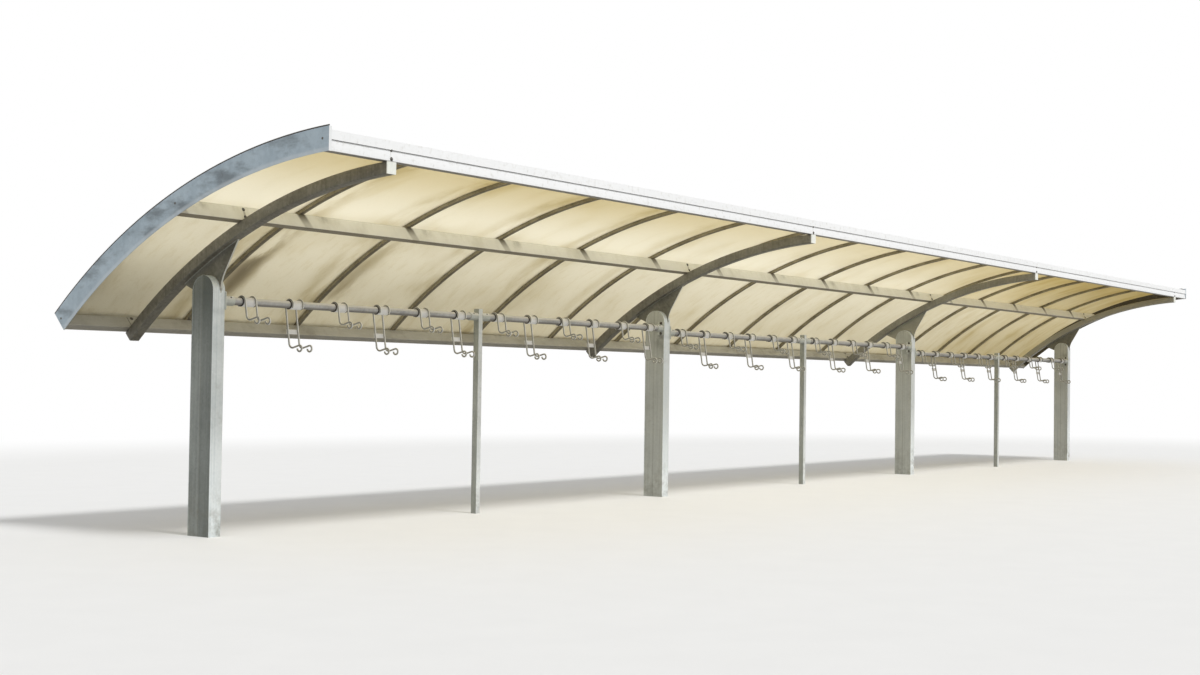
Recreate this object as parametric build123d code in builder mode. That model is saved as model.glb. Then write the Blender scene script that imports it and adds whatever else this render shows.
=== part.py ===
from build123d import *
from math import asin, cos, degrees, hypot, radians, sin, sqrt, tan
import os

# A curved roof bicycle shelter of three bays, with hanging handlebar hooks.
# Millimetres. X runs along the shelter, Y to the rear, Z up.
# The origin is the middle of the first post's foot. Every foot stands at Z = 0,
# the lowest point of the sloping paving that the real posts go into.

# Layout along the shelter
BAY = 5000.0
BAYS = 3
ROOF_OVERHANG = 500.0
SHEET_PITCH = 1000.0

# The roof is a set of bands about one long axis
ARC_Y = -1745.0
ARC_Z = -1510.0
FRONT_Y = -1505.0
REAR_ANGLE = 42.0
BEAM_DEPTH = 70.0
PURLIN_HEIGHT = 95.0
PURLIN_FLANGE = 45.0
BAR_DEPTH = 25.0
SHEET_THICKNESS = 10.0
CAP_THICKNESS = 6.0
END_PLATE_DEPTH = 135.0
EDGING_DEPTH = 8.0
BEAM_TOP_R = 3714.0
BEAM_BOTTOM_R = BEAM_TOP_R - BEAM_DEPTH
BAR_SEAT_R = hypot(BEAM_TOP_R + PURLIN_HEIGHT, PURLIN_FLANGE / 2)
SHEET_BOTTOM_R = BAR_SEAT_R + BAR_DEPTH
SHEET_TOP_R = SHEET_BOTTOM_R + SHEET_THICKNESS

# Posts and the plates that carry the beams
POST_DEPTH = 190.0
POST_WIDTH = 96.0
POST_TOP = 1597.0
GUSSET_THICKNESS = 12.0
GUSSET_OFFSET = 14.0
GUSSET_FRONT_Y = -246.0
GUSSET_REAR_Y = 236.0
GUSSET_ROOT_Z = 1490.0
GUSSET_CURVE_R = 250.0
GUSSET_LEAN = 31.0

# Beams and purlins
BEAM_WIDTH = 74.0
CAP_PLATE = 6.0
PURLIN_LIP = 14.0
PURLIN_WALL = 3.0
REAR_PURLIN_ANGLE = 41.6
MIDDLE_PURLIN_ANGLE = 22.9
CLEAT_THICKNESS = 6.0
CLEAT_WIDTH = 70.0
CLEAT_HEIGHT = 74.0
CLEAT_FOOT = 30.0

# Roof skin
END_PLATE_THICKNESS = 4.0
END_PLATE_FOLD = 20.0
BAR_FRONT_Y = -1472.0
BAR_WIDTH = 34.0
BAR_STEM = 8.0
SHEET_FRONT_Y = -1440.0
SHEET_GAP = 3.0
CAP_WIDTH = 46.0
TRIM_WALL = 2.0
FRONT_TRIM_TOP = 2313.0
FRONT_TRIM_DROP = 50.0
TRIM_LEG = 40.0
REAR_TRIM_DROP = 24.0

# Rail, thin posts and the hooks hung on the rail
RAIL_R = 24.15
RAIL_WALL = 3.2
RAIL_SETBACK = 27.0
RAIL_HEIGHTS = (1444.0, 1411.0, 1346.0)
FLANGE_THICKNESS = 8.0
FLANGE_HEIGHT = 112.0
FLANGE_DEPTH = 66.0
SOCKET_R = 30.0
SOCKET_LENGTH = 76.0
THIN_POST_DEPTH = 50.0
THIN_POST_WIDTH = 46.0
THIN_POST_RISE = 58.0
COLLAR_R = 30.0
COLLAR_LENGTH = 84.0
WIRE = 10.0
WIRE_SPACING = 88.0
SADDLE_WALL = 6.0
HOOK_NEAREST = 225.0
HOOK_PITCH = 405.0
HOOKS_PER_HALF_BAY = 6
SHORT_DROP = 113.0
LONG_DROP = 276.0
HOOK_LEAN = 9.0
HOOK_RISE = 15.0
HOOK_REACH = 54.0
BEND_R = 30.0
EYE_R = 19.5
EYE_TURN = 285.0
CROSS_PLATE_THICKNESS = 4.0
CROSS_PLATE_HEIGHT = 31.0
CROSS_PLATE_DROP = 172.5

POSTS = BAYS + 1
ROOF_START = -ROOF_OVERHANG
ROOF_END = BAYS * BAY + ROOF_OVERHANG
ROOF_LENGTH = ROOF_END - ROOF_START
SHEETS = round(ROOF_LENGTH / SHEET_PITCH)
SHEETS_PER_NODE = 4
BARS = SHEETS - 1
BARS_PER_NODE = 5
RAIL_Y = -POST_DEPTH / 2 + RAIL_SETBACK
POST_X = [number * BAY for number in range(POSTS)]
BAR_X = [ROOF_START + SHEET_PITCH * (number + 1) for number in range(BARS)]
FRONT_PURLIN_ANGLE = degrees(asin((FRONT_Y - ARC_Y + PURLIN_FLANGE / 2) / BEAM_TOP_R))

os.makedirs("parts", exist_ok=True)


def save(part, name):
    part.label = name
    export_step(part, f"parts/{name}.step")


def height_at(y, radius):
    """Height at which a circle about the roof's axis meets an upright plane."""
    return ARC_Z + sqrt(radius**2 - (y - ARC_Y) ** 2)


def on_arc(radius, angle):
    """Point of a circle about the roof's axis, the angle measured from straight up to the rear."""
    return (ARC_Y + radius * sin(radians(angle)), ARC_Z + radius * cos(radians(angle)))


def roof_band(inner, outer, front=FRONT_Y, rear=REAR_ANGLE):
    """Face between two circles, cut upright at the front and square to the curve at the rear."""
    middle = rear / 2
    with BuildLine() as outline:
        Line((front, height_at(front, inner)), (front, height_at(front, outer)))
        ThreePointArc((front, height_at(front, outer)), on_arc(outer, middle), on_arc(outer, rear))
        Line(on_arc(outer, rear), on_arc(inner, rear))
        ThreePointArc(on_arc(inner, rear), on_arc(inner, middle), (front, height_at(front, inner)))
    make_face(outline.edges())


def along(x):
    """Plane of a cross section of the shelter: its own X is to the rear and its Y is up."""
    return Plane.YZ.offset(x)


def square_to_roof(angle, radius, x):
    """Section plane whose own X follows the roof down to the rear and whose Y points out of it."""
    y, z = on_arc(radius, angle)
    return Plane(
        origin=(x, y, z),
        x_dir=(0, cos(radians(angle)), -sin(radians(angle))),
        z_dir=(1, 0, 0),
    )


# Posts: upright box sections with a half round head, seen from the side
for number, x in enumerate(POST_X, start=1):
    with BuildPart() as post:
        with BuildSketch(along(x - POST_WIDTH / 2)):
            with Locations((0, POST_TOP - POST_DEPTH / 2)):
                Circle(POST_DEPTH / 2)
            Rectangle(POST_DEPTH, POST_TOP - POST_DEPTH / 2, align=(Align.CENTER, Align.MIN))
        extrude(amount=POST_WIDTH)
        # The gusset plate stands in a slot in the head
        with BuildSketch(along(x + GUSSET_OFFSET - GUSSET_THICKNESS / 2)):
            with Locations((0, GUSSET_ROOT_Z)):
                Rectangle(POST_DEPTH, POST_TOP - GUSSET_ROOT_Z, align=(Align.CENTER, Align.MIN))
        extrude(amount=GUSSET_THICKNESS, mode=Mode.SUBTRACT)
    save(post.part, f"post_{number}")


def beam_underside(y):
    return height_at(y, BEAM_BOTTOM_R)


# Gussets: plates from the posts' heads up to the beams, their front edge swept forward
for number, x in enumerate(POST_X, start=1):
    front_top = (GUSSET_FRONT_Y, beam_underside(GUSSET_FRONT_Y))
    rear_top = (GUSSET_REAR_Y, beam_underside(GUSSET_REAR_Y))
    middle_y = (GUSSET_FRONT_Y + GUSSET_REAR_Y) / 2
    with BuildPart() as gusset:
        with BuildSketch(along(x + GUSSET_OFFSET - GUSSET_THICKNESS / 2)):
            with BuildLine():
                front_curve = JernArc(
                    (-POST_DEPTH / 2, GUSSET_ROOT_Z), (0, 1), GUSSET_CURVE_R, GUSSET_LEAN
                )
                Line(front_curve @ 1, front_top)
                ThreePointArc(front_top, (middle_y, beam_underside(middle_y)), rear_top)
                Polyline(rear_top, (POST_DEPTH / 2, GUSSET_ROOT_Z), front_curve @ 0)
            make_face()
        extrude(amount=GUSSET_THICKNESS)
    save(gusset.part, f"gusset_{number}")


# Roof beams: one curved box section over each post, closed by a cap plate at its front end
for number, x in enumerate(POST_X, start=1):
    with BuildPart() as beam:
        with BuildSketch(along(x - BEAM_WIDTH / 2)):
            roof_band(BEAM_BOTTOM_R, BEAM_TOP_R, front=FRONT_Y + CAP_PLATE)
        extrude(amount=BEAM_WIDTH)
    save(beam.part, f"roof_beam_{number}")

with BuildPart() as end_caps:
    for x in POST_X:
        with BuildSketch(along(x - BEAM_WIDTH / 2)):
            with BuildLine():
                low, high = beam_underside(FRONT_Y), height_at(FRONT_Y + CAP_PLATE, BEAM_TOP_R)
                Polyline(
                    (FRONT_Y, low),
                    (FRONT_Y, high),
                    (FRONT_Y + CAP_PLATE, high),
                    (FRONT_Y + CAP_PLATE, low),
                    close=True,
                )
            make_face()
        extrude(amount=BEAM_WIDTH)
save(end_caps.part, "beam_end_caps")


# Purlins: lipped channels whose web faces the front and whose flanges point to the rear
def purlin(name, angle):
    inside = PURLIN_HEIGHT - 2 * PURLIN_WALL
    with BuildPart() as channel:
        with BuildSketch(square_to_roof(angle, BEAM_TOP_R, ROOF_START + END_PLATE_THICKNESS)):
            with Locations((0, PURLIN_HEIGHT / 2)):
                Rectangle(PURLIN_FLANGE, PURLIN_HEIGHT)
                Rectangle(PURLIN_FLANGE - 2 * PURLIN_WALL, inside, mode=Mode.SUBTRACT)
            with Locations((PURLIN_FLANGE / 2, PURLIN_HEIGHT / 2)):
                Rectangle(2 * PURLIN_WALL, PURLIN_HEIGHT - 2 * PURLIN_LIP, mode=Mode.SUBTRACT)
        extrude(amount=ROOF_LENGTH - 2 * END_PLATE_THICKNESS)
    save(channel.part, name)


PURLINS = {
    "rear_purlin": REAR_PURLIN_ANGLE,
    "middle_purlin": MIDDLE_PURLIN_ANGLE,
    "front_purlin": FRONT_PURLIN_ANGLE,
}
for name, angle in PURLINS.items():
    purlin(name, angle)

# Cleats: angles inside the purlins, one at each crossing of a beam, behind the web's two bolts
with BuildPart() as cleats:
    corner = (PURLIN_WALL - PURLIN_FLANGE / 2, PURLIN_WALL)
    for x in POST_X:
        for angle in PURLINS.values():
            with BuildSketch(square_to_roof(angle, BEAM_TOP_R, x - CLEAT_WIDTH / 2)):
                with Locations(corner):
                    Rectangle(CLEAT_THICKNESS, CLEAT_HEIGHT, align=Align.MIN)
                    Rectangle(CLEAT_FOOT, CLEAT_THICKNESS, align=Align.MIN)
            extrude(amount=CLEAT_WIDTH)
save(cleats.part, "purlin_cleats")


# End plates: curved bands that close the roof's two ends, folded round the front corners
END_PLATE_TOP_R = BEAM_TOP_R + END_PLATE_DEPTH
FOLD_Y = FRONT_Y - TRIM_WALL - END_PLATE_THICKNESS


def end_plate(name, x, inward):
    low = height_at(FOLD_Y, BEAM_TOP_R)
    high = height_at(FOLD_Y + END_PLATE_THICKNESS, END_PLATE_TOP_R)
    with BuildPart() as plate:
        with BuildSketch(along(x)):
            roof_band(BEAM_TOP_R, END_PLATE_TOP_R, front=FOLD_Y)
        extrude(amount=inward * END_PLATE_THICKNESS)
        with BuildSketch(along(x)):
            with Locations((FOLD_Y, low)):
                Rectangle(END_PLATE_THICKNESS, high - low, align=Align.MIN)
        extrude(amount=inward * END_PLATE_FOLD)
    save(plate.part, name)


end_plate("near_end_plate", ROOF_START, 1)
end_plate("far_end_plate", ROOF_END, -1)

# Glazing bars: curved box bars laid over the purlins, each with a stem between two sheets, and
# caps that clamp the sheets to them. The first and last caps' nodes hold the end plates' edging.
for group in range(BARS // BARS_PER_NODE):
    places = BAR_X[group * BARS_PER_NODE : (group + 1) * BARS_PER_NODE]
    with BuildPart() as bars:
        for x in places:
            with BuildSketch(along(x - BAR_WIDTH / 2)):
                roof_band(BAR_SEAT_R, SHEET_BOTTOM_R, front=BAR_FRONT_Y)
            extrude(amount=BAR_WIDTH)
            with BuildSketch(along(x - BAR_STEM / 2)):
                roof_band(SHEET_BOTTOM_R, SHEET_TOP_R, front=SHEET_FRONT_Y)
            extrude(amount=BAR_STEM)
    save(bars.part, f"glazing_bars_{group + 1}")
    with BuildPart() as caps:
        for x in places:
            with BuildSketch(along(x - CAP_WIDTH / 2)):
                roof_band(SHEET_TOP_R, SHEET_TOP_R + CAP_THICKNESS, front=SHEET_FRONT_Y + TRIM_LEG)
            extrude(amount=CAP_WIDTH)
        for x, inward in ((ROOF_START, 1), (ROOF_END, -1)):
            if abs(x - places[0]) == SHEET_PITCH or abs(x - places[-1]) == SHEET_PITCH:
                with BuildSketch(along(x)):
                    roof_band(END_PLATE_TOP_R, END_PLATE_TOP_R + EDGING_DEPTH, front=FOLD_Y)
                extrude(amount=inward * END_PLATE_THICKNESS)
    save(caps.part, f"glazing_caps_{group + 1}")

# Roof sheets: cold bent panels between the bars
for group in range(SHEETS // SHEETS_PER_NODE):
    with BuildPart() as sheets:
        for number in range(group * SHEETS_PER_NODE, (group + 1) * SHEETS_PER_NODE):
            start = ROOF_START + SHEET_PITCH * number
            low = END_PLATE_THICKNESS if number == 0 else BAR_STEM / 2 + SHEET_GAP
            high = END_PLATE_THICKNESS if number == SHEETS - 1 else BAR_STEM / 2 + SHEET_GAP
            with BuildSketch(along(start + low)):
                roof_band(SHEET_BOTTOM_R, SHEET_TOP_R, front=SHEET_FRONT_Y)
            extrude(amount=SHEET_PITCH - low - high)
    save(sheets.part, f"roof_sheets_{group + 1}")

# Edge trims: folded strips between the end plates, over the sheets' front and rear edges
with BuildPart() as front_trim:
    with BuildSketch(along(ROOF_START + END_PLATE_THICKNESS)):
        with Locations((FRONT_Y, FRONT_TRIM_TOP - TRIM_WALL)):
            Rectangle(TRIM_WALL, FRONT_TRIM_DROP, align=Align.MAX)
        with BuildLine():
            over, under = SHEET_TOP_R + TRIM_WALL, SHEET_TOP_R
            front, middle, rear = SHEET_FRONT_Y, SHEET_FRONT_Y + TRIM_LEG / 2, SHEET_FRONT_Y + TRIM_LEG
            Polyline(
                (front, height_at(front, under)),
                (FRONT_Y, FRONT_TRIM_TOP - TRIM_WALL),
                (FRONT_Y - TRIM_WALL, FRONT_TRIM_TOP - TRIM_WALL),
                (FRONT_Y - TRIM_WALL, FRONT_TRIM_TOP),
                (front, height_at(front, over)),
            )
            ThreePointArc(
                (front, height_at(front, over)),
                (middle, height_at(middle, over)),
                (rear, height_at(rear, over)),
            )
            Line((rear, height_at(rear, over)), (rear, height_at(rear, under)))
            ThreePointArc(
                (rear, height_at(rear, under)),
                (middle, height_at(middle, under)),
                (front, height_at(front, under)),
            )
        make_face()
    extrude(amount=ROOF_LENGTH - 2 * END_PLATE_THICKNESS)
save(front_trim.part, "front_edge_trim")

TRIM_R = hypot(SHEET_TOP_R + CAP_THICKNESS, TRIM_LEG)
with BuildPart() as rear_trim:
    with BuildSketch(square_to_roof(REAR_ANGLE, TRIM_R, ROOF_START + END_PLATE_THICKNESS)):
        Rectangle(TRIM_WALL, REAR_TRIM_DROP, align=(Align.MIN, Align.MAX))
        with Locations((TRIM_WALL, 0)):
            Rectangle(TRIM_LEG, TRIM_WALL, align=(Align.MAX, Align.MIN))
    extrude(amount=ROOF_LENGTH - 2 * END_PLATE_THICKNESS)
save(rear_trim.part, "rear_edge_trim")

# Hook rail: a tube in each bay, held at each end by a socket on a flange plate on the post's side
for number in range(BAYS):
    height = RAIL_HEIGHTS[number]
    start = POST_X[number] + POST_WIDTH / 2 + FLANGE_THICKNESS
    length = BAY - POST_WIDTH - 2 * FLANGE_THICKNESS
    with BuildPart() as rail:
        with BuildSketch(along(start)):
            with Locations((RAIL_Y, height)):
                Circle(RAIL_R)
                Circle(RAIL_R - RAIL_WALL, mode=Mode.SUBTRACT)
        extrude(amount=length)
    save(rail.part, f"hook_rail_{number + 1}")

with BuildPart() as flanges:
    for number, height in enumerate(RAIL_HEIGHTS):
        left = POST_X[number] + POST_WIDTH / 2
        right = POST_X[number + 1] - POST_WIDTH / 2
        for x, inward in ((left, 1), (right, -1)):
            with BuildSketch(along(x)):
                with Locations((RAIL_Y, height)):
                    Rectangle(FLANGE_DEPTH, FLANGE_HEIGHT)
            extrude(amount=inward * FLANGE_THICKNESS)
            with BuildSketch(along(x + inward * FLANGE_THICKNESS)):
                with Locations((RAIL_Y, height)):
                    Circle(SOCKET_R)
                    Circle(RAIL_R, mode=Mode.SUBTRACT)
            extrude(amount=inward * SOCKET_LENGTH)
save(flanges.part, "rail_end_flanges")

# Thin posts: one under the middle of each rail, which passes through its head
for number, height in enumerate(RAIL_HEIGHTS):
    x = POST_X[number] + BAY / 2
    with BuildPart() as thin_post:
        with BuildSketch(along(x - THIN_POST_WIDTH / 2)):
            with Locations((RAIL_Y, 0)):
                Rectangle(THIN_POST_DEPTH, height + THIN_POST_RISE, align=(Align.CENTER, Align.MIN))
            with Locations((RAIL_Y, height)):
                Circle(RAIL_R, mode=Mode.SUBTRACT)
        extrude(amount=THIN_POST_WIDTH)
    save(thin_post.part, f"thin_post_{number + 1}")

with BuildPart() as collars:
    for number, height in enumerate(RAIL_HEIGHTS):
        middle = POST_X[number] + BAY / 2
        for x in (middle - THIN_POST_WIDTH / 2 - COLLAR_LENGTH, middle + THIN_POST_WIDTH / 2):
            with BuildSketch(along(x)):
                with Locations((RAIL_Y, height)):
                    Circle(COLLAR_R)
                    Circle(RAIL_R, mode=Mode.SUBTRACT)
            extrude(amount=COLLAR_LENGTH)
save(collars.part, "rail_collars")

# Hooks: each is a pair of bent wires joined by a lined saddle plate that wraps the rail's front
LOOP_R = RAIL_R + SADDLE_WALL + WIRE / 2
RAIL_WRAP = 225.0
SADDLE_START = 40.0
SADDLE_WRAP = 258.0
FALL_HEADING = (-sin(radians(HOOK_LEAN)), -cos(radians(HOOK_LEAN)))


def hook_end(start, bottom):
    """Lean forward down from the rail, bend round, rise forward and curl right over into an eye."""
    fall = start.Y - bottom - BEND_R * (1 - sin(radians(HOOK_LEAN)))
    down = Line(start, (start.X - fall * tan(radians(HOOK_LEAN)), start.Y - fall))
    bend = JernArc(down @ 1, FALL_HEADING, BEND_R, HOOK_LEAN - 90 - HOOK_RISE)
    rise = PolarLine(bend @ 1, HOOK_REACH, 180 - HOOK_RISE)
    JernArc(rise @ 1, rise % 1, EYE_R, EYE_TURN)


def short_wire(y, z):
    """Path from under the rail round its back and top, then down in front of it."""
    with BuildLine() as path:
        wrap = CenterArc((y, z), LOOP_R, 180 - HOOK_LEAN - RAIL_WRAP, RAIL_WRAP)
        hook_end(wrap @ 1, z - SHORT_DROP)
    return path


def long_wire(y, z):
    """Path from under the rail round its front and top, then down behind it."""
    with BuildLine() as path:
        wrap = CenterArc((y, z), LOOP_R, RAIL_WRAP - HOOK_LEAN, -RAIL_WRAP)
        hook_end(wrap @ 1, z - LONG_DROP)
    return path


def hook(x, y, z, wire_path):
    """Two wires side by side, their edges left square, with the saddle plate between them."""
    for side in (-1, 1):
        with BuildSketch(along(x + side * WIRE_SPACING / 2 - WIRE / 2)) as wire:
            trace(wire_path(y, z).line, line_width=WIRE)
        extrude(wire.sketch, amount=WIRE)
    with BuildSketch(along(x - WIRE_SPACING / 2)) as saddle:
        with BuildLine():
            outer = CenterArc((y, z), RAIL_R + SADDLE_WALL, SADDLE_START, SADDLE_WRAP)
            inner = CenterArc((y, z), RAIL_R, SADDLE_START, SADDLE_WRAP)
            Line(outer @ 0, inner @ 0)
            Line(outer @ 1, inner @ 1)
        make_face()
    extrude(saddle.sketch, amount=WIRE_SPACING)


def cross_plate(x, y, z):
    """Flat plate across the back of a long hook's two wires, part way down."""
    lean = radians(HOOK_LEAN)
    wire_y = y + LOOP_R * cos(lean) - (CROSS_PLATE_DROP - LOOP_R * sin(lean)) * tan(lean)
    behind = (WIRE + CROSS_PLATE_THICKNESS) / 2 / cos(lean)
    with BuildSketch(along(x - WIRE_SPACING / 2)) as plate:
        with Locations(Location((wire_y + behind, z - CROSS_PLATE_DROP, 0), (0, 0, -HOOK_LEAN))):
            Rectangle(CROSS_PLATE_THICKNESS, CROSS_PLATE_HEIGHT)
    extrude(plate.sketch, amount=WIRE_SPACING)


for number, height in enumerate(RAIL_HEIGHTS):
    middle = POST_X[number] + BAY / 2
    spots = []
    for step in range(HOOKS_PER_HALF_BAY):
        spots.append(middle - HOOK_NEAREST - HOOK_PITCH * step)
        spots.append(middle + HOOK_NEAREST + HOOK_PITCH * step)
    spots.sort()
    for name, wire_path, places in (
        ("short_hooks", short_wire, spots[0::2]),
        ("long_hooks", long_wire, spots[1::2]),
    ):
        with BuildPart() as hooks:
            for x in places:
                hook(x, RAIL_Y, height, wire_path)
                if wire_path is long_wire:
                    cross_plate(x, RAIL_Y, height)
        save(hooks.part, f"{name}_{number + 1}")
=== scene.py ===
from math import cos, pi, radians, sin, tan

import bpy
import numpy as np
from mathutils import Matrix, Vector


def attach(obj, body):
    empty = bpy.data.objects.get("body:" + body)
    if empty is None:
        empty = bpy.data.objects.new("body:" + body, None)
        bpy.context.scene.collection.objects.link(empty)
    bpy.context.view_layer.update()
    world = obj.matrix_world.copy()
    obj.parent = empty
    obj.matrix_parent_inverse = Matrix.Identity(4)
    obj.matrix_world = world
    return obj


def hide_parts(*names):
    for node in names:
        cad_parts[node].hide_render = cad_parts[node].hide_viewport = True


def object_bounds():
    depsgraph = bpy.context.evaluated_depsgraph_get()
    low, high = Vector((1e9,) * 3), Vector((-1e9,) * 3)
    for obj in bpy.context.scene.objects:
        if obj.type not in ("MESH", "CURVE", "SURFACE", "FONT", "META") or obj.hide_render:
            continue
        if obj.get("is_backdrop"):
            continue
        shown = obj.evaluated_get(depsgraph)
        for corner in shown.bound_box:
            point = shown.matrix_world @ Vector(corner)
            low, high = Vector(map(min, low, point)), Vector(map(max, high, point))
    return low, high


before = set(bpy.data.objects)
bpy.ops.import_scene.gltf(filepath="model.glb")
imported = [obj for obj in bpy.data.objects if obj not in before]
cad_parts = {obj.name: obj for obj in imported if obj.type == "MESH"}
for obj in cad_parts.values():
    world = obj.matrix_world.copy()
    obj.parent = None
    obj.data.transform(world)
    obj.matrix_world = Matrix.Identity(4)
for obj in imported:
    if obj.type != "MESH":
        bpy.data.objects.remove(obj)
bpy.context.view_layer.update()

# A bicycle shelter: a curved translucent roof on four posts, with hooks hung on a rail.
# Metres. X runs along the shelter, Y to the rear, Z up.

scene = bpy.context.scene
scene.view_settings.view_transform = "Standard"

# Layout
BAY = 5.0
POST_X = np.arange(4) * BAY
MIDDLE_X = 7.5
ROOF_START = -0.5
ROOF_END = 15.5
SHEETS = 16
SHEET_PITCH = 1.0
BAR_X = ROOF_START + np.arange(1, SHEETS) * SHEET_PITCH

# The roof is a set of bands about one long axis. R is a distance from it.
AXIS = np.array([-1.745, -1.510])
FRONT_Y = -1.505
REAR_ANGLE = radians(42.0)
BEAM_TOP_R = 3.714
BEAM_BOTTOM_R = 3.644
BAR_SEAT_R = 3.80907
SHEET_BOTTOM_R = 3.83407
SHEET_TOP_R = 3.84407
EDGING_BOTTOM_R = 3.849
EDGING_TOP_R = 3.857
EDGING_WIDTH = 0.004
EDGINGS = {0: (ROOF_START + 0.002, -1.511), 2: (ROOF_END - 0.002, -1.460)}
END_BOLT_R = 3.787
END_BOLT_ANGLES = (4.3, 22.9, 41.6)
END_BOLT_SINK = 0.0088
BEAM_WIDTH = 0.074
BEAM_END_Y = FRONT_Y + 0.006
PURLIN_HEIGHT = 0.095
PURLIN_WEB_OFFSET = 0.0225
PURLIN_ANGLES = {"front": radians(4.053), "middle": radians(22.9), "rear": radians(41.6)}
BAR_WIDTH = 0.034
BAR_FRONT_Y = -1.472
BARS_IN_GROUP = 5
STEM_WIDTH = 0.008
SHEET_FRONT_Y = -1.440
SHEETS_IN_GROUP = 4
GAP_AT_BAR = 0.007
END_PLATE_THICKNESS = 0.004
CAP_WIDTH = 0.046
CAP_THICKNESS = 0.006
CAP_FRONT_Y = SHEET_FRONT_Y + 0.040
SCREW_ANGLES = np.radians(np.arange(6.0, 41.5, 4.4))
FASCIA_FOOT = 2.2
FASCIA_LIP = 2.26
TRIM_SHADOW_SIZE = (0.003, 0.0026)
TRIM_SHADOW_PLACE = (-1.5046, 2.2592)
TRIM_SHADOW_INSET = 0.024

# Posts and rail
POST_HALF_DEPTH = 0.095
POST_HALF_WIDTH = 0.048
POST_TOP = 1.597
GUSSET_OFFSET = 0.014
GUSSET_HALF_THICKNESS = 0.006
GUSSET_FRONT_Y = -0.246
GUSSET_REAR_Y = 0.236
HEAD_WELD_R = 0.0035
BEAM_WELD_R = 0.0040
RAIL_Y = -0.068
RAIL_HEIGHTS = (1.444, 1.411, 1.346)
RAIL_R = 0.02415
FLANGE_THICKNESS = 0.008
FLANGE_DEPTH = 0.066
FLANGE_HEIGHT = 0.112
FLANGE_BOLT_RISE = 0.044
SLEEVE_R = 0.030
SLEEVE_RIM = 0.0012
SOCKET_LENGTH = 0.076
SOCKET_SCREW = 0.054
COLLAR_LENGTH = 0.084
COLLAR_SCREW = 0.075
THIN_POST_WIDTH = 0.046
THIN_POST_DEPTH = 0.050
THIN_POST_RISE = 0.058

# Hooks. Angles are in degrees.
HOOK_NEAREST = 0.225
HOOK_PITCH = 0.405
HOOKS_IN_HALF_BAY = 6
WIRE_R = 0.0062
WIRE_APART = 0.088
LOOP_R = 0.03515
SHORT_DROP = 0.113
LONG_DROP = 0.276
LEAN = 9.0
RISE = 15.0
REACH = 0.054
BEND_R = 0.030
EYE_R = 0.0195
WRAP = 225.0
EYE_TURN = 285.0
SADDLE_R = 0.02865
SADDLE_WIDTH = 0.096
SADDLE_THICKNESS = 0.003
SADDLE_START = 40.0
SADDLE_WRAP = 258.0
LINER_OVERRUN = 2.0
CROSS_PLATE_DROP = 0.1725
CROSS_PLATE_THICKNESS = 0.004
CROSS_PLATE_HEIGHT = 0.031
CROSS_PLATE_HALF = 0.050
CROSS_PLATE_STANDOFF = 0.007


# Camera at the photograph's place
def aim_camera():
    yaw, pitch, roll = radians(54.47), radians(1.588), radians(0.777)
    forward = Vector((sin(yaw) * cos(pitch), cos(yaw) * cos(pitch), sin(pitch)))
    level = Vector((cos(yaw), -sin(yaw), 0.0))
    above = level.cross(forward)
    right = level * cos(roll) + above * sin(roll)
    up = above * cos(roll) - level * sin(roll)
    lens = bpy.data.cameras.new("camera")
    lens.sensor_fit = "HORIZONTAL"
    lens.sensor_width = 36.0
    lens.lens = 48.78
    lens.clip_end = 200.0
    camera = bpy.data.objects.new("camera", lens)
    scene.collection.objects.link(camera)
    place = Matrix((right, up, -forward)).transposed().to_4x4()
    place.translation = Vector((-6.7201, -7.7565, 0.9717))
    camera.matrix_world = place
    scene.camera = camera


aim_camera()


# Shader maths
class Socket:
    """One output of a shader node. Arithmetic on it adds Math nodes to the same tree."""

    def __init__(self, tree, output=None):
        self.tree = tree
        self.output = output

    def node(self, kind, settings=None, sockets=None, output=0):
        """Add a node from its type, its settings, and the values or links of its sockets."""
        made = self.tree.nodes.new(kind)
        for name, value in (settings or {}).items():
            setattr(made, name, value)
        for name, value in (sockets or {}).items():
            if isinstance(value, Socket):
                self.tree.links.new(value.output, made.inputs[name])
            else:
                made.inputs[name].default_value = value
        return Socket(self.tree, made.outputs[output] if made.outputs else None)

    def math(self, operation, one, two=0.0):
        return self.node("ShaderNodeMath", {"operation": operation}, {0: one, 1: two})

    def __add__(self, other):
        return self.math("ADD", self, other)

    __radd__ = __add__

    def __sub__(self, other):
        return self.math("SUBTRACT", self, other)

    def __rsub__(self, other):
        return self.math("SUBTRACT", other, self)

    def __mul__(self, other):
        return self.math("MULTIPLY", self, other)

    def __truediv__(self, other):
        return self.math("DIVIDE", self, other)

    def step(self, low, high):
        """0 below low, 1 above high, a smooth rise between; low above high turns it round."""
        smooth = {"interpolation_type": "SMOOTHSTEP"}
        return self.node("ShaderNodeMapRange", smooth, {0: self, 1: low, 2: high})

    def near(self, middle, half_width):
        """1 at the middle value, falling smoothly to 0 half a width away on either side."""
        return self.math("ABSOLUTE", self - middle).step(half_width, 0.0)

    def tint(self, under, over):
        """Colour that goes from under to over as this value goes from 0 to 1."""
        return self.node("ShaderNodeMix", {"data_type": "RGBA"}, {0: self, 6: under, 7: over}, 2)

    def split(self):
        return [self.node("ShaderNodeSeparateXYZ", {}, {0: self}, axis) for axis in range(3)]

    def stretch(self, x, y, z):
        return self.node("ShaderNodeVectorMath", {"operation": "MULTIPLY"}, {0: self, 1: (x, y, z)})

    def noise(self, scale, detail=3.0, roughness=0.55):
        sockets = {"Vector": self, "Scale": scale, "Detail": detail, "Roughness": roughness}
        return self.node("ShaderNodeTexNoise", {}, sockets)

    def cells(self, scale):
        """A random grey for each cell of a broken pattern, as zinc crystals have."""
        coloured = self.node("ShaderNodeTexVoronoi", {}, {"Vector": self, "Scale": scale}, "Color")
        return coloured.split()[0]

    def bump(self, strength, distance):
        sockets = {"Height": self, "Strength": strength, "Distance": distance}
        return self.node("ShaderNodeBump", {}, sockets)


def colour(red, green, blue):
    return (red, green, blue, 1.0)


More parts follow.
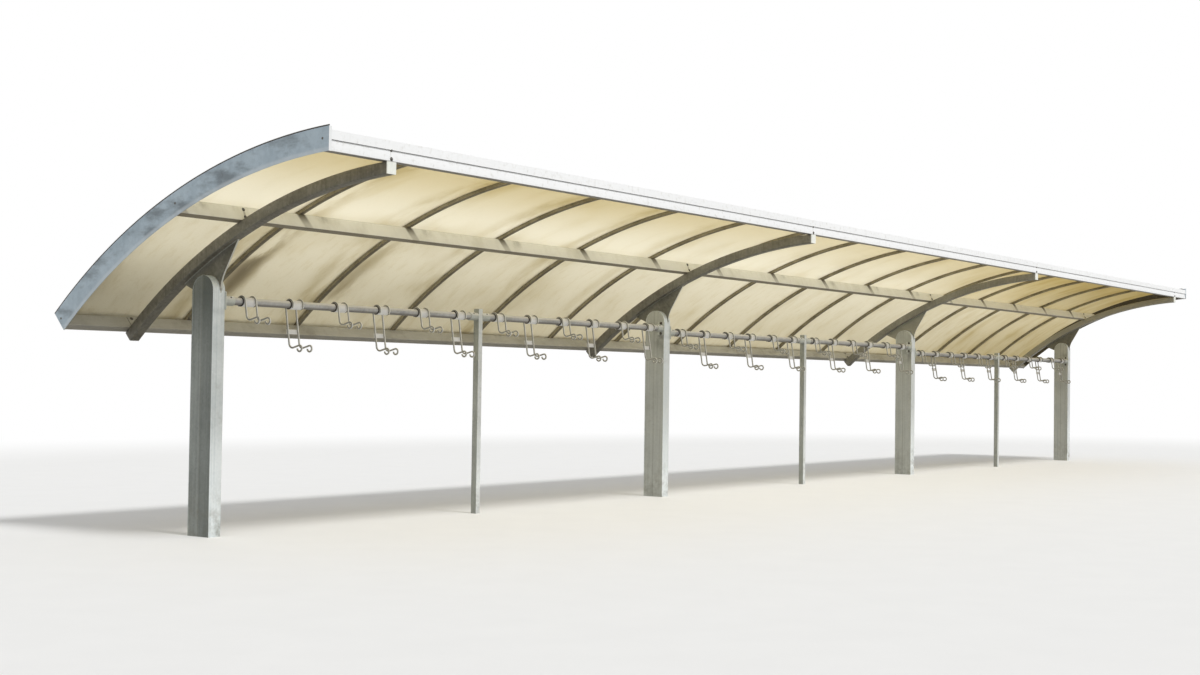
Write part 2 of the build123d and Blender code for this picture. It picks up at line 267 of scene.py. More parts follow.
def finish(name, paint):
    """A material whose surface is what paint(place) returns, place being the Object coordinates."""
    material = bpy.data.materials.new(name)
    material.use_nodes = True
    tree = material.node_tree
    tree.nodes.clear()
    start = Socket(tree)
    place = start.node("ShaderNodeTexCoord", output="Object")
    start.node("ShaderNodeOutputMaterial", {}, {"Surface": paint(place)})
    return material


def principled(place, base, roughness, **sockets):
    values = {"Base Color": base, "Roughness": roughness}
    values.update({name.replace("_", " "): value for name, value in sockets.items()})
    return place.node("ShaderNodeBsdfPrincipled", {}, values)


def roof_radius(place):
    """Distance from the roof's axis."""
    y, z = place.split()[1:]
    back, up = y - float(AXIS[0]), z - float(AXIS[1])
    return place.math("SQRT", back * back + up * up)


def beam_distance(place, shift):
    """Distance along the roof from the nearest beam, with the beams shifted back a little."""
    return place.math("PINGPONG", place.split()[0] + shift, BAY / 2)


def facing(place):
    """X, Y and Z of the way that the surface faces."""
    return place.node("ShaderNodeNewGeometry", output="Normal").split()


def sideways(place):
    """1 where the surface faces along the shelter."""
    return place.math("ABSOLUTE", facing(place)[0]).step(0.5, 0.85)


def galvanised(
    light, dark, dirt, dirty, grain, metallic, runs=(55.0, 55.0, 1.6), crystal=0.3, below=0.0, shade=0.0,
    paler=0.0, joint=0.0, under=0.0,
):
    """Zinc coated steel: crystals, cloudy patches, runs down the surface and dirt in patches. Under the
    radius given as below, the side that faces the ground is darkened with painted shade as strong as
    shade says. Towards the far end the steel is paler by a share. A joint is a dark line across at each
    beam. A share given as under paints shade on the sides that face down, and paints light on those
    that face up."""

    def paint(place):
        crystals = place.cells(grain)
        clouds = place.noise(2.3, 5.0, 0.6).step(0.35, 0.68)
        streaks = place.stretch(*runs).noise(1.0, 4.0, 0.6).step(0.42, 0.72)
        specks = place.noise(160.0, 2.0).step(0.62, 0.72)
        tone = clouds * 0.55 + crystals * crystal + streaks * 0.25
        base = tone.tint(colour(*light), colour(*dark))
        grime = (place.noise(6.0, 6.0, 0.65).step(0.48, 0.75) * 0.7 + specks * 0.3) * dirty
        base = grime.tint(base, colour(*dirt))
        if paler:
            far = place.split()[0].step(5.0, 16.0)
            base = (far * paler).tint(base, colour(*(value * 2 for value in light)))
        if below:
            # Painted shade: the face turned to the ground is darkened
            film = roof_radius(place).step(below + 0.003, below + 0.0015)
            base = (film * shade).tint(base, colour(dirt[0] * 0.8, dirt[1] * 0.75, dirt[2] * 0.7))
        if under:
            # Painted light on faces turned up, and painted shade on faces turned down
            upright = facing(place)[2]
            pale = colour(*(min(value * 1.45, 1.0) for value in light))
            base = (upright.step(0.05, 0.7) * 0.75).tint(base, pale)
            base = (upright.step(-0.15, -0.8) * under).tint(base, colour(*dirt))
        if joint:
            seam = beam_distance(place, 0.009).near(0.0, 0.005)
            base = (seam * joint).tint(base, colour(0.05, 0.045, 0.035))
        roughness = 0.42 + crystals * 0.1 + grime * 0.25
        relief = (crystals * crystal + place.noise(35.0, 3.0)).bump(0.12, 0.002)
        return principled(place, base, roughness, Metallic=metallic, Normal=relief)

    return paint


def splashes(place):
    """Splashes of dirt near the ground, in patches."""
    return place.split()[2].step(0.45, 0.0) * place.noise(14.0, 6.0, 0.7).step(0.35, 0.7)


def post_zinc(place):
    """Posts: a pale strip round the front and head, and darker sides, the two tones being painted light
    and painted shade, the sides darkest on the first post; runs and one upright seam, and splashes of
    dirt near the ground."""
    x, y, z = place.split()
    side = sideways(place)
    crystals = place.cells(75.0)
    clouds = place.noise(2.8, 5.0, 0.6).step(0.35, 0.7)
    streaks = place.stretch(60.0, 45.0, 1.3).noise(1.0, 4.0, 0.65).step(0.4, 0.7)
    tone = clouds * 0.4 + crystals * 0.2 + streaks * 0.45
    # The pale front strip and the darker sides are painted light and painted shade of one zinc
    front = (tone * x.step(9.0, 0.5)).tint(colour(0.94, 0.985, 0.985), colour(0.68, 0.745, 0.75))
    band = z.near(1.375, 0.035) * 0.25 + z.near(1.17, 0.06) * 0.12
    front = band.tint(front, colour(0.42, 0.45, 0.44))
    first_post_side_shade = tone.tint(colour(0.36, 0.385, 0.36), colour(0.19, 0.205, 0.19))
    other_post_side_shade = tone.tint(colour(0.60, 0.615, 0.565), colour(0.43, 0.445, 0.405))
    base = side.tint(front, x.step(1.0, 4.0).tint(first_post_side_shade, other_post_side_shade))
    seam = y.near(0.005, 0.0035) * side
    grime = seam * 0.6 + splashes(place) * 0.55 + place.noise(7.0, 6.0, 0.65).step(0.55, 0.8) * 0.35
    base = grime.tint(base, colour(0.27, 0.26, 0.21))
    # Painted shade on the first post's sides: towards the top, and on the half towards the front
    top_side_shade = side * z.step(1.15, 1.5) * x.step(4.0, 1.0)
    half = side * y.step(0.012, -0.012) * x.step(4.0, 1.0)
    base = (top_side_shade * 0.45 + half * 0.35).tint(base, colour(0.10, 0.115, 0.105))
    socket = side * x.step(1.0, 4.0) * z.near(1.36, 0.16) * y.near(-0.05, 0.075)
    socket = socket * place.noise(18.0, 4.0, 0.6).step(0.35, 0.6)
    base = (socket * 0.6).tint(base, colour(0.13, 0.125, 0.105))
    roughness = 0.42 + crystals * 0.1 + grime * 0.2
    relief = (crystals * 0.3 + place.noise(30.0, 3.0) - seam).bump(0.15, 0.002)
    return principled(place, base, roughness, Metallic=0.25, Normal=relief)


def thin_zinc(place):
    """Thin posts: a pale front, and sides darker with painted shade, with runs."""
    side = sideways(place)
    crystals = place.cells(90.0)
    clouds = place.noise(4.0, 5.0, 0.6).step(0.35, 0.7)
    streaks = place.stretch(70.0, 70.0, 1.5).noise(1.0, 4.0, 0.6).step(0.4, 0.7)
    tone = clouds * 0.45 + crystals * 0.2 + streaks * 0.3
    front = tone.tint(colour(0.93, 0.96, 0.95), colour(0.70, 0.73, 0.72))
    # Painted shade: the sides are darker than the front
    sides = tone.tint(colour(0.46, 0.48, 0.44), colour(0.33, 0.345, 0.31))
    base = side.tint(front, sides)
    grime = place.noise(9.0, 6.0, 0.65).step(0.52, 0.8) * 0.4 + splashes(place) * 0.4
    base = grime.tint(base, colour(0.27, 0.26, 0.21))
    return principled(place, base, 0.42 + tone * 0.15, Metallic=0.2, Normal=crystals.bump(0.1, 0.002))


def fascia_white(place):
    """Bright channel along the roof's front, with faint rain marks, dust in patches, and a darker
    underside that is painted shade.
    """
    z = place.split()[2]
    marks = place.stretch(26.0, 8.0, 1.6).noise(1.0, 5.0, 0.65).step(0.5, 0.8)
    patches = place.stretch(0.7, 2.0, 2.0).noise(1.0, 3.0).step(0.4, 0.7)
    base = (marks * 0.16 + patches * 0.10).tint(colour(0.98, 0.985, 0.985), colour(0.74, 0.75, 0.74))
    # Dust in patches, and painted shade under the channel's foot
    dust = place.noise(30.0, 4.0).step(0.5, 0.8) * 0.3 + z.step(FASCIA_FOOT, FASCIA_FOOT - 0.008) * 0.5
    base = dust.tint(base, colour(0.46, 0.43, 0.34))
    channel = z.step(FASCIA_FOOT - 0.01, FASCIA_FOOT) * z.step(FASCIA_LIP, FASCIA_LIP - 0.005)
    joint = beam_distance(place, 0.006).near(0.0, 0.0022) * channel
    # Painted shade on the face turned to the ground
    under = roof_radius(place).step(BEAM_TOP_R + 0.003, BEAM_TOP_R + 0.0015)
    base = (joint * 0.45 + under * 0.85).tint(base, colour(0.12, 0.10, 0.07))
    return principled(place, base, 0.38 + marks * 0.2, Metallic=0.12)


def end_zinc(place):
    """End plates: blue grey zinc with dark smudges along the band, paler along the lower edge, pale
    on the fold at the front, and dark with painted shade on the side that faces the roof's middle."""
    x, y = place.split()[:2]
    # Painted shade on the side that faces the roof's middle
    inner_face_shade = (facing(place)[0] * (x - MIDDLE_X)).step(-3.0, -6.0) * y.step(-1.50, -1.46)
    crystals = place.cells(34.0)
    clouds = place.noise(4.5, 6.0, 0.62).step(0.4, 0.72)
    smudges = place.stretch(3.0, 3.2, 10.0).noise(1.0, 5.0, 0.6).step(0.47, 0.70)
    lower = roof_radius(place).step(BEAM_TOP_R + 0.030, BEAM_TOP_R + 0.012)
    fine = place.noise(45.0, 4.0).step(0.5, 0.8)
    base = (crystals * 0.3 + clouds * 0.5).tint(colour(0.485, 0.58, 0.645), colour(0.32, 0.40, 0.46))
    base = (smudges * 0.75 + fine * 0.15).tint(base, colour(0.15, 0.175, 0.19))
    base = (lower * 0.55).tint(base, colour(0.64, 0.70, 0.74))
    base = y.step(-1.5098, -1.5106).tint(base, colour(0.88, 0.89, 0.89))
    base = (inner_face_shade * (0.95 - fine * 0.2)).tint(base, colour(0.075, 0.06, 0.035))
    return principled(place, base, 0.42 + clouds * 0.15, Metallic=0.2, Normal=crystals.bump(0.1, 0.002))


def gusset_zinc(place):
    """Gussets: faces dark with weather, paler on the third post, and edges paler than the faces."""
    x = place.split()[0]
    edge = place.math("ABSOLUTE", facing(place)[0]).step(0.7, 0.3)
    crystals = place.cells(60.0)
    clouds = place.noise(3.0, 5.0, 0.62).step(0.38, 0.7)
    base = (crystals * 0.3 + clouds * 0.6).tint(colour(0.265, 0.26, 0.215), colour(0.10, 0.095, 0.075))
    base = (x.near(float(POST_X[2]), 4.0) * 0.5).tint(base, colour(0.52, 0.51, 0.42))
    base = (edge * 0.9).tint(base, colour(0.72, 0.72, 0.66))
    return principled(place, base, 0.5 + clouds * 0.15, Metallic=0.2, Normal=crystals.bump(0.1, 0.002))


def rib_brown(place):
    """Glazing bars: dark olive brown, partly a film on the metal, thicker in patches along the bar, and
    partly painted shade of bars seen from below against the lit sheets; the face turned down is darker
    still with painted shade.
    """
    film = place.noise(9.0, 5.0, 0.65).step(0.35, 0.7)
    fine = place.noise(60.0, 3.0).step(0.45, 0.7)
    base = (film * 0.7 + fine * 0.3).tint(colour(0.38, 0.335, 0.225), colour(0.19, 0.165, 0.10))
    # Painted shade on the face turned down
    under = roof_radius(place).step(BAR_SEAT_R + 0.0025, BAR_SEAT_R + 0.001)
    base = (under * 0.55).tint(base, colour(0.115, 0.10, 0.07))
    return principled(place, base, 0.55 + film * 0.2, Metallic=0.1, Normal=fine.bump(0.1, 0.001))


def sheet_skin(place):
    """Translucent sheets: clean before the middle purlin, yellowed towards the front and at the far
    end, dusty to the rear. Brown film gathers beside the first bars, and lets less light through.
    Scuffs along the curve and specks mark the rear, and the upper side weathers in patches."""
    x, y, z = place.split()
    degrees = place.math("ARCTAN2", y - float(AXIS[0]), z - float(AXIS[1])) * (180.0 / pi)
    across = place.math("FRACT", x + 0.5)
    panel = place.math("FLOOR", x + 0.5)
    wide = place.noise(1.3, 4.0, 0.55)
    along_bars = place.node("ShaderNodeCombineXYZ", {}, {0: x * 4.5, 1: degrees * 0.10, 2: panel * 3.7})
    soft = along_bars.noise(1.0, 5.0, 0.6)
    fine = place.noise(55.0, 4.0, 0.65)
    narrow = place.node("ShaderNodeCombineXYZ", {}, {0: x * 19.0, 1: degrees * 0.42, 2: panel * 5.1})
    scuffs = narrow.noise(1.0, 5.0, 0.65).step(0.50, 0.68)
    specks = place.noise(120.0, 2.0).step(0.66, 0.70)
    rear = (degrees + wide * 6.0 - 3.0).step(21.0, 27.0)
    first_bay = x.step(5.4, 2.6)
    first_sheets = x.step(2.2, 0.8) * x.step(-0.2, 0.3)

    # Film: stains before and after each bar, clouds, yellow to the front and dust to the rear
    before = across.near(0.87, 0.19) * soft.step(0.36, 0.58) * (first_bay * 0.85 + 0.12)
    after = across.near(0.13, 0.17) * soft.step(0.40, 0.58) * (first_sheets * 0.9 + 0.08)
    runs = after * degrees.near(33.0, 11.0)
    edges = (across.near(0.0, 0.05) + across.near(1.0, 0.06)) * fine.step(0.35, 0.65)
    cloudy = wide.step(0.46, 0.72) * 0.14 + soft.step(0.50, 0.75) * 0.14 + fine.step(0.5, 0.8) * 0.08
    cloudy = cloudy + rear * (scuffs * 0.13 + specks * 0.2)
    cloudy = cloudy + x.step(9.5, 12.5) * soft.step(0.42, 0.62) * 0.14
    stain = before * 0.28 + after * 0.25 + runs * 0.25 + edges * 0.12 + cloudy
    yellow = degrees.step(22.5, 9.0) * (first_bay * 0.16 + 0.38)
    dust = rear * (first_bay * 0.01 + 0.06) + degrees.step(28.0, 41.0) * 0.12
    far = x.step(7.6, 13.6) * (0.54 - rear * 0.48) + x.step(11.6, 13.6) * rear * 0.24
    film = yellow + dust + far + stain

    # Surface: what shows of the film, and the weathered upper side
    upper = roof_radius(place).step(SHEET_BOTTOM_R + 0.004, SHEET_BOTTOM_R + 0.006)
    cream = film.tint(colour(0.82, 0.79, 0.66), colour(0.36, 0.28, 0.12))
    cream = (runs * 0.8 + after * 0.2).tint(cream, colour(0.24, 0.195, 0.13))
    weather = wide.step(0.40, 0.70) * 0.45 + soft.step(0.45, 0.70) * 0.35 + fine.step(0.5, 0.8) * 0.2
    base = upper.tint(cream, weather.tint(colour(0.96, 0.955, 0.91), colour(0.66, 0.64, 0.54)))

    # Cover: the share of light that the film and the sheet don't let through
    low = degrees.step(28.0, 40.0) * (first_bay * 0.11 + 0.03)
    corner = x.step(0.9, -0.5) * degrees.step(29.0, 40.0)
    far_front = x.step(11.5, 14.0) * (1.0 - rear)
    cover = rear * (first_bay * 0.05 + 0.03) + low + corner * 0.25 + 0.25
    cover = cover + runs * 0.30 + after * 0.06 + before * 0.08 + far_front * 0.10
    solid = principled(place, base, 0.5 - fine * 0.15)
    clean = place.node("ShaderNodeBsdfTranslucent", {}, {"Color": colour(0.975, 0.94, 0.83)})
    stained = place.node("ShaderNodeBsdfTranslucent", {}, {"Color": colour(0.70, 0.60, 0.34)})
    glow = place.node("ShaderNodeMixShader", {}, {0: film, 1: clean, 2: stained})
    return place.node("ShaderNodeMixShader", {}, {0: cover, 1: glow, 2: solid})


def middle_zinc(place):
    """Middle purlin: pale cream, painted light from the lit sheets above, a painted shadow of each bar
    slanting down the web, a mark under each pair of bolts, and a dark underside that is painted shade."""
    x = place.split()[0]
    up = (roof_radius(place) - BEAM_TOP_R) / PURLIN_HEIGHT
    beside = place.math("FRACT", x) - 0.5
    # Painted shadow of each bar, slanting down the web
    rib_shadow = place.math("ABSOLUTE", beside + up * 0.045 - 0.03).step(0.046, 0.022)
    bolt = beam_distance(place, -0.004).near(0.0, 0.014) * up.step(0.9, 0.5)
    line = up.step(0.93, 0.985)
    film = place.noise(5.0, 5.0, 0.62).step(0.4, 0.72)
    fine = place.stretch(30.0, 12.0, 12.0).noise(1.0, 4.0).step(0.5, 0.75)
    tone = (film * 0.5 + fine * 0.2) * (1.0 - x.step(7.0, 12.0) * 0.6)
    # The pale cream is painted light from the sheets above
    base = tone.tint(colour(0.98, 0.965, 0.86), colour(0.76, 0.73, 0.60))
    blot = beside.near(0.17, 0.09) * up.step(0.25, 0.85) * film
    rib_shadow = rib_shadow * (up.step(0.15, 1.0) * 0.62 + 0.34)
    base = (rib_shadow + blot * 0.45 + bolt * 0.5 + line * 0.35).tint(base, colour(0.14, 0.115, 0.07))
    # Painted shade on the underside
    base = (up.step(0.034, 0.018) * 0.9).tint(base, colour(0.20, 0.165, 0.10))
    return principled(place, base, 0.5 + film * 0.15, Normal=fine.bump(0.05, 0.001))


def wire_zinc(place):
    """Bent wires: pale zinc with dull patches, and painted shade on the side that faces the near end."""
    dull = place.noise(38.0, 4.0).step(0.4, 0.7)
    base = dull.tint(colour(1.0, 0.995, 0.95), colour(0.88, 0.87, 0.81))
    # Painted shade on the side that faces the near end
    near_end_shade = facing(place)[0].step(-0.25, -0.75)
    base = (near_end_shade * 0.85).tint(base, colour(0.30, 0.29, 0.25))
    return principled(place, base, 0.30 + dull * 0.2, Metallic=0.1, Normal=dull.bump(0.06, 0.001))


def black_rubber_and_shade(place):
    """Saddle liners, black rubber, and the strips on top of the end plates, black as painted shade of the
    sheets' edges; grey in patches of wear.
    """
    grey = place.noise(80.0, 3.0).step(0.4, 0.75)
    base = grey.tint(colour(0.055, 0.050, 0.043), colour(0.12, 0.11, 0.095))
    return principled(place, base, 0.6 + grey * 0.2)


def fixing_steel(place):
    """Bolts, nuts and washers: grey zinc, darker in fine specks."""
    grain = place.noise(220.0, 3.0).step(0.35, 0.7)
    base = grain.tint(colour(0.17, 0.16, 0.14), colour(0.06, 0.055, 0.045))
    return principled(place, base, 0.4 + grain * 0.2, Metallic=0.3)


def weld_grey(place):
    """Weld beads: grey and rippled."""
    ripple = place.noise(140.0, 3.0).step(0.3, 0.7)
    base = ripple.tint(colour(0.42, 0.42, 0.38), colour(0.24, 0.23, 0.19))
    return principled(place, base, 0.5 + ripple * 0.15, Metallic=0.3, Normal=ripple.bump(0.3, 0.001))


POST_ZINC = finish("post_zinc", post_zinc)
THIN_ZINC = finish("thin_post_zinc", thin_zinc)
BEAM_ZINC = finish(
    "beam_zinc",
    galvanised(
        light=(0.29, 0.28, 0.23), dark=(0.135, 0.125, 0.10), dirt=(0.11, 0.095, 0.068),
        dirty=0.7, grain=60.0, metallic=0.2, below=BEAM_BOTTOM_R, shade=0.3, paler=0.5,
    ),
)
GUSSET_ZINC = finish("gusset_zinc", gusset_zinc)
END_ZINC = finish("end_plate_zinc", end_zinc)
MIDDLE_ZINC = finish("middle_purlin_zinc", middle_zinc)
REAR_ZINC = finish(
    "rear_purlin_zinc",
    galvanised(
        light=(0.61, 0.60, 0.55), dark=(0.45, 0.44, 0.385), dirt=(0.26, 0.235, 0.18),
        dirty=0.6, grain=60.0, metallic=0.1, runs=(9.0, 30.0, 30.0), crystal=0.1,
        below=BEAM_TOP_R, shade=0.55, joint=0.8,
    ),
)
RAIL_ZINC = finish(
    "rail_zinc",
    galvanised(
        light=(0.64, 0.635, 0.62), dark=(0.44, 0.44, 0.44), dirt=(0.20, 0.185, 0.16),
        dirty=0.55, grain=90.0, metallic=0.2, under=0.85,
    ),
)
SLEEVE_ZINC = finish(
    "sleeve_zinc",
    galvanised(
        light=(0.72, 0.75, 0.70), dark=(0.56, 0.58, 0.53), dirt=(0.30, 0.30, 0.25),
        dirty=0.5, grain=110.0, metallic=0.2, under=0.5,
    ),
)
SADDLE_ZINC = finish(
    "saddle_zinc",
    galvanised(
        light=(0.99, 0.985, 0.97), dark=(0.93, 0.925, 0.91), dirt=(0.56, 0.54, 0.50),
        dirty=0.25, grain=120.0, metallic=0.05,
    ),
)
TIP_ZINC = finish(
    "beam_tip_zinc",
    galvanised(
        light=(0.97, 0.98, 0.90), dark=(0.82, 0.83, 0.76), dirt=(0.50, 0.48, 0.38),
        dirty=0.4, grain=90.0, metallic=0.1,
    ),
)
CLEAT_ZINC = finish(
    "cleat_zinc",
    galvanised(
        light=(0.45, 0.44, 0.38), dark=(0.33, 0.32, 0.26), dirt=(0.2, 0.18, 0.12),
        dirty=0.6, grain=60.0, metallic=0.2,
    ),
)
CAP_ALUMINIUM = finish(
    "cap_aluminium",
    galvanised(
        light=(0.66, 0.66, 0.63), dark=(0.54, 0.54, 0.51), dirt=(0.33, 0.31, 0.25),
        dirty=0.5, grain=25.0, metallic=0.35, runs=(40.0, 3.0, 3.0),
    ),
)
FASCIA = finish("fascia_white", fascia_white)
RIB_BROWN = finish("rib_brown", rib_brown)
SHEET = finish("sheet_cream", sheet_skin)
WIRE = finish("wire_zinc", wire_zinc)
RUBBER_AND_SHADE = finish("black_rubber_and_shade", black_rubber_and_shade)
# Painted shadow: the finish of the dark strip under the front trim
TRIM_SHADOW_FINISH = finish(
    "trim_shadow_grey",
    galvanised(
        light=(0.34, 0.34, 0.35), dark=(0.22, 0.22, 0.225), dirt=(0.3, 0.28, 0.24),
        dirty=0.5, grain=80.0, metallic=0.0,
    ),
)
FIXING = finish("fixing_steel", fixing_steel)
WELD = finish("weld_grey", weld_grey)


# Shapes. A part is its points and the faces that join them.
def skin(rings):
    """Rings of points joined in order, each ring closed, and a face on each end. The rings turn round
    where their area faces back, so that every face looks outward."""
    rings = np.asarray(rings, dtype=float)
    turn = np.cross(rings[0], np.roll(rings[0], -1, axis=0)).sum(axis=0)
    if turn @ (rings[1].mean(axis=0) - rings[0].mean(axis=0)) < 0:
        rings = rings[:, ::-1]
    count, around = rings.shape[:2]
    index = np.arange(count * around).reshape(count, around)
    near, far = index[:-1], index[1:]
    sides = np.stack([near, np.roll(near, -1, axis=1), np.roll(far, -1, axis=1), far], axis=-1)
    faces = sides.reshape(-1, 4).tolist() + [index[0, ::-1].tolist(), index[-1].tolist()]
    return rings.reshape(-1, 3), faces


def joined(parts):
    """Several parts as one."""
    points, faces, count = [], [], 0
    for some_points, some_faces in parts:
        points.append(some_points)
        faces += [[corner + count for corner in face] for face in some_faces]
        count += len(some_points)
    return np.vstack(points), faces


def set_on(part, origin, axis):
    """A part made about +Z, turned so that its Z points along the axis and put at the origin."""
    turn = np.array(Vector((0.0, 0.0, 1.0)).rotation_difference(Vector(axis)).to_matrix())
    return part[0] @ turn.T + np.array(origin), part[1]


def piece(name, parts, material, replaces=(), sharp=35.0):
    """A named object of one finish, fixed to the body, in place of the nodes that it replaces."""
    points, faces = joined(parts)
    mesh = bpy.data.meshes.new(name)
    mesh.from_pydata(points.tolist(), [], faces)
    mesh.shade_smooth()
    mesh.set_sharp_from_angle(angle=radians(sharp))
    mesh.materials.append(material)
    made = bpy.data.objects.new(name, mesh)
    scene.collection.objects.link(made)
    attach(made, "root")
    if replaces:
        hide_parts(*replaces)


def circle(radius, sides):
    angle = np.arange(sides) * 2 * pi / sides
    return np.c_[radius * np.cos(angle), radius * np.sin(angle)]


def rounded(width, height, radius, steps=4):
    """Outline of a rectangle about the origin, each corner a quarter circle of a few steps."""
    corners = np.array([[1, 1], [-1, 1], [-1, -1], [1, -1]])
    quarter = np.arange(4)[:, None] * pi / 2 + np.linspace(0, pi / 2, steps)[None, :]
    middle = corners[:, None, :] * np.array([width / 2 - radius, height / 2 - radius])
    arc = np.stack([np.cos(quarter), np.sin(quarter)], axis=-1) * radius
    return (middle + arc).reshape(-1, 2)


def between(low, high, width, radius, steps=4):
    """Outline of (across, radius) of a band's box section between two circles about the roof's axis."""
    return rounded(width, high - low, radius, steps) + [0.0, (low + high) / 2]


def inset(outline, distance):
    """The outline drawn in by a distance along the mean of its neighbouring edges' normals."""
    edge = np.roll(outline, -1, axis=0) - outline
    normal = np.c_[edge[:, 1], -edge[:, 0]] / np.linalg.norm(edge, axis=1)[:, None]
    both = normal + np.roll(normal, 1, axis=0)
    return outline - distance * 2 * both / (both**2).sum(axis=1)[:, None]


def along_x(outline, start, end, edge=0.0):
    """An outline in Y and Z carried along X, its two rims cut back by a small edge."""
    small = inset(outline, edge) if edge else outline
    places = [(start, small), (start + edge, outline), (end - edge, outline), (end, small)]
    if not edge:
        places = places[::3]
    return skin([np.c_[np.full(len(ring), x), ring] for x, ring in places])


def turned(profile, sides=24, corners=0):
    """A profile of (radius, height) turned about Z. With corners, each ring is a polygon with flat
    sides: the radius shrinks by cos(half a corner's angle) over cos(angle from a flat's middle)."""
    profile = np.asarray(profile)
    angle = np.arange(sides) * 2 * pi / sides
    shape = np.ones(sides)
    if corners:
        half = pi / corners
        shape = cos(half) / np.cos(np.mod(angle, 2 * half) - half)
    radius = profile[:, 0][:, None] * shape[None, :]
    height = np.repeat(profile[:, 1][:, None], sides, axis=1)
    return skin(np.stack([radius * np.cos(angle), radius * np.sin(angle), height], axis=-1))


def wire(path, heading, x, radius, sides=10):
    """A circle carried along a path in a plane of constant X: at each point the circle lies across
    the heading, and the ends are drawn in a little."""
    normal = np.c_[-np.sin(heading), np.cos(heading)]
    angle = np.arange(sides) * 2 * pi / sides
    size = np.full(len(path), radius)
    size[[0, -1]] = radius * 0.6
    out = (size[:, None] * np.cos(angle))[:, :, None] * normal[:, None, :]
    across = x + size[:, None] * np.sin(angle)
    return skin(np.concatenate([across[:, :, None], path[:, None, :] + out], axis=-1))


def on_arc(radius, angle):
    """Y and Z of a point of a circle about the roof's axis, the angle from straight up to the rear."""
    return AXIS + radius * np.array([np.sin(angle), np.cos(angle)])


def height_at(y, radius):
    return AXIS[1] + np.sqrt(radius**2 - (y - AXIS[0]) ** 2)


def band(outline, x, front, steps=64):
    """An outline of (across, radius) bent about the roof's axis. Each of its points starts where its
    own circle meets the upright plane at the front, and ends at the rear angle."""
    radius = outline[:, 1]
    first = np.arcsin((front - AXIS[0]) / radius)
    share = np.linspace(0, 1, steps)[:, None]
    angle = first + share * (REAR_ANGLE - first)
    across = np.broadcast_to(x + outline[:, 0], angle.shape)
    rings = [across, AXIS[0] + radius * np.sin(angle), AXIS[1] + radius * np.cos(angle)]
    return skin(np.stack(rings, axis=-1))


def roof_frame(angle):
    """Unit vectors in Y and Z that follow the roof down to the rear and point out of it."""
    return np.array([cos(angle), -sin(angle)]), np.array([sin(angle), cos(angle)])


# Fixings made once, about +Z, from profiles of (radius, height), and set wherever they go
HEX_BOLT = joined(
    [
        turned([(0.0125, 0.0), (0.0125, 0.0018), (0.0118, 0.0024)], 24),
        turned([(0.0092, 0.002), (0.0092, 0.0075), (0.0078, 0.0090)], 24, 6),
    ]
)
DOME_BOLT = joined(
    [
        turned([(0.0115, 0.0), (0.0115, 0.0015)], 24),
        turned(
            [(0.0090, 0.001), (0.0086, 0.0032), (0.0068, 0.0056), (0.0036, 0.0071), (0.0006, 0.0076)], 20
        ),
    ]
)
SMALL_SCREW = turned([(0.0055, 0.0), (0.0055, 0.0008), (0.0042, 0.0026), (0.0006, 0.0032)], 12)


# Posts
def head_arc(steps):
    """Angles, and points in Y and Z, of the half circle over a post's head, from the front to the rear."""
    turn = np.linspace(0, pi, steps)
    centre = POST_TOP - POST_HALF_DEPTH
    return turn, np.c_[-np.cos(turn) * POST_HALF_DEPTH, centre + np.sin(turn) * POST_HALF_DEPTH]


def post_shell(x):
    """A strip runs up the front, round the half circle of the head and down the rear. At each point
    of that line the strip's profile lies across X and inward, and flat sides close it, set in by
    2 mm."""
    turn, head = head_arc(41)
    line = np.vstack([[-POST_HALF_DEPTH, 0.0], head, [POST_HALF_DEPTH, 0.0]])
    inward = np.vstack([[1.0, 0.0], np.c_[np.cos(turn), -np.sin(turn)], [-1.0, 0.0]])
    half = POST_HALF_WIDTH
    lip = [(0.002, 0.006), (0.0006, 0.006), (0.0, 0.0052), (0.0, 0.0022), (0.0008, 0.0007), (0.0024, 0.0)]
    profile = [(-half + a, b) for a, b in lip] + [(half - a, b) for a, b in lip[::-1]]
    profile = np.array(profile)
    across = np.broadcast_to(x + profile[:, 0], (len(line), len(profile)))
    rim = line[:, None, :] + inward[:, None, :] * profile[None, :, 1:]
    points = np.concatenate([across[:, :, None], rim], axis=-1).reshape(-1, 3)
    index = np.arange(len(points)).reshape(len(line), len(profile))
    near, far = index[:-1], index[1:]
    sides = np.stack([near[:, :-1], near[:, 1:], far[:, 1:], far[:, :-1]], axis=-1).reshape(-1, 4)
    foot = index[0, ::-1].tolist() + index[-1].tolist()
    return points, sides.tolist() + [foot, index[:, 0].tolist(), index[::-1, -1].tolist()]


for number, x in enumerate(POST_X, start=1):
    piece(f"post_{number}_shell", [post_shell(x)], POST_ZINC, [f"post_{number}"])

# Beams: curved box sections with rounded corners
beam_outline = between(BEAM_BOTTOM_R, BEAM_TOP_R, BEAM_WIDTH, 0.006)
for number, x in enumerate(POST_X, start=1):
    beam = band(beam_outline, x, BEAM_END_Y, 80)
    piece(f"beam_{number}_tube", [beam], BEAM_ZINC, [f"roof_beam_{number}"])


# Purlins: lipped channels with rounded folds
def folded(corners, radius, wall, steps=5):
    """Outline of a strip folded along a line of corners, each fold a quarter circle: the line moved
    half a wall to one side, and back along the other side."""
    corners = np.array(corners)
    line = [corners[0]]
    for before, here, after in zip(corners[:-2], corners[1:-1], corners[2:]):
        come = (here - before) / np.linalg.norm(here - before)
        go = (after - here) / np.linalg.norm(after - here)
        middle = here - come * radius + go * radius
        turn = np.linspace(0, pi / 2, steps)[:, None]
        line.extend(middle - go * radius * np.cos(turn) + come * radius * np.sin(turn))
    line = np.vstack([line, corners[-1:]])
    run = np.gradient(line, axis=0)
    run[0], run[-1] = line[1] - line[0], line[-1] - line[-2]
    side = np.c_[-run[:, 1], run[:, 0]] / np.linalg.norm(run, axis=1)[:, None] * wall / 2
    return np.vstack([line + side, (line - side)[::-1]])


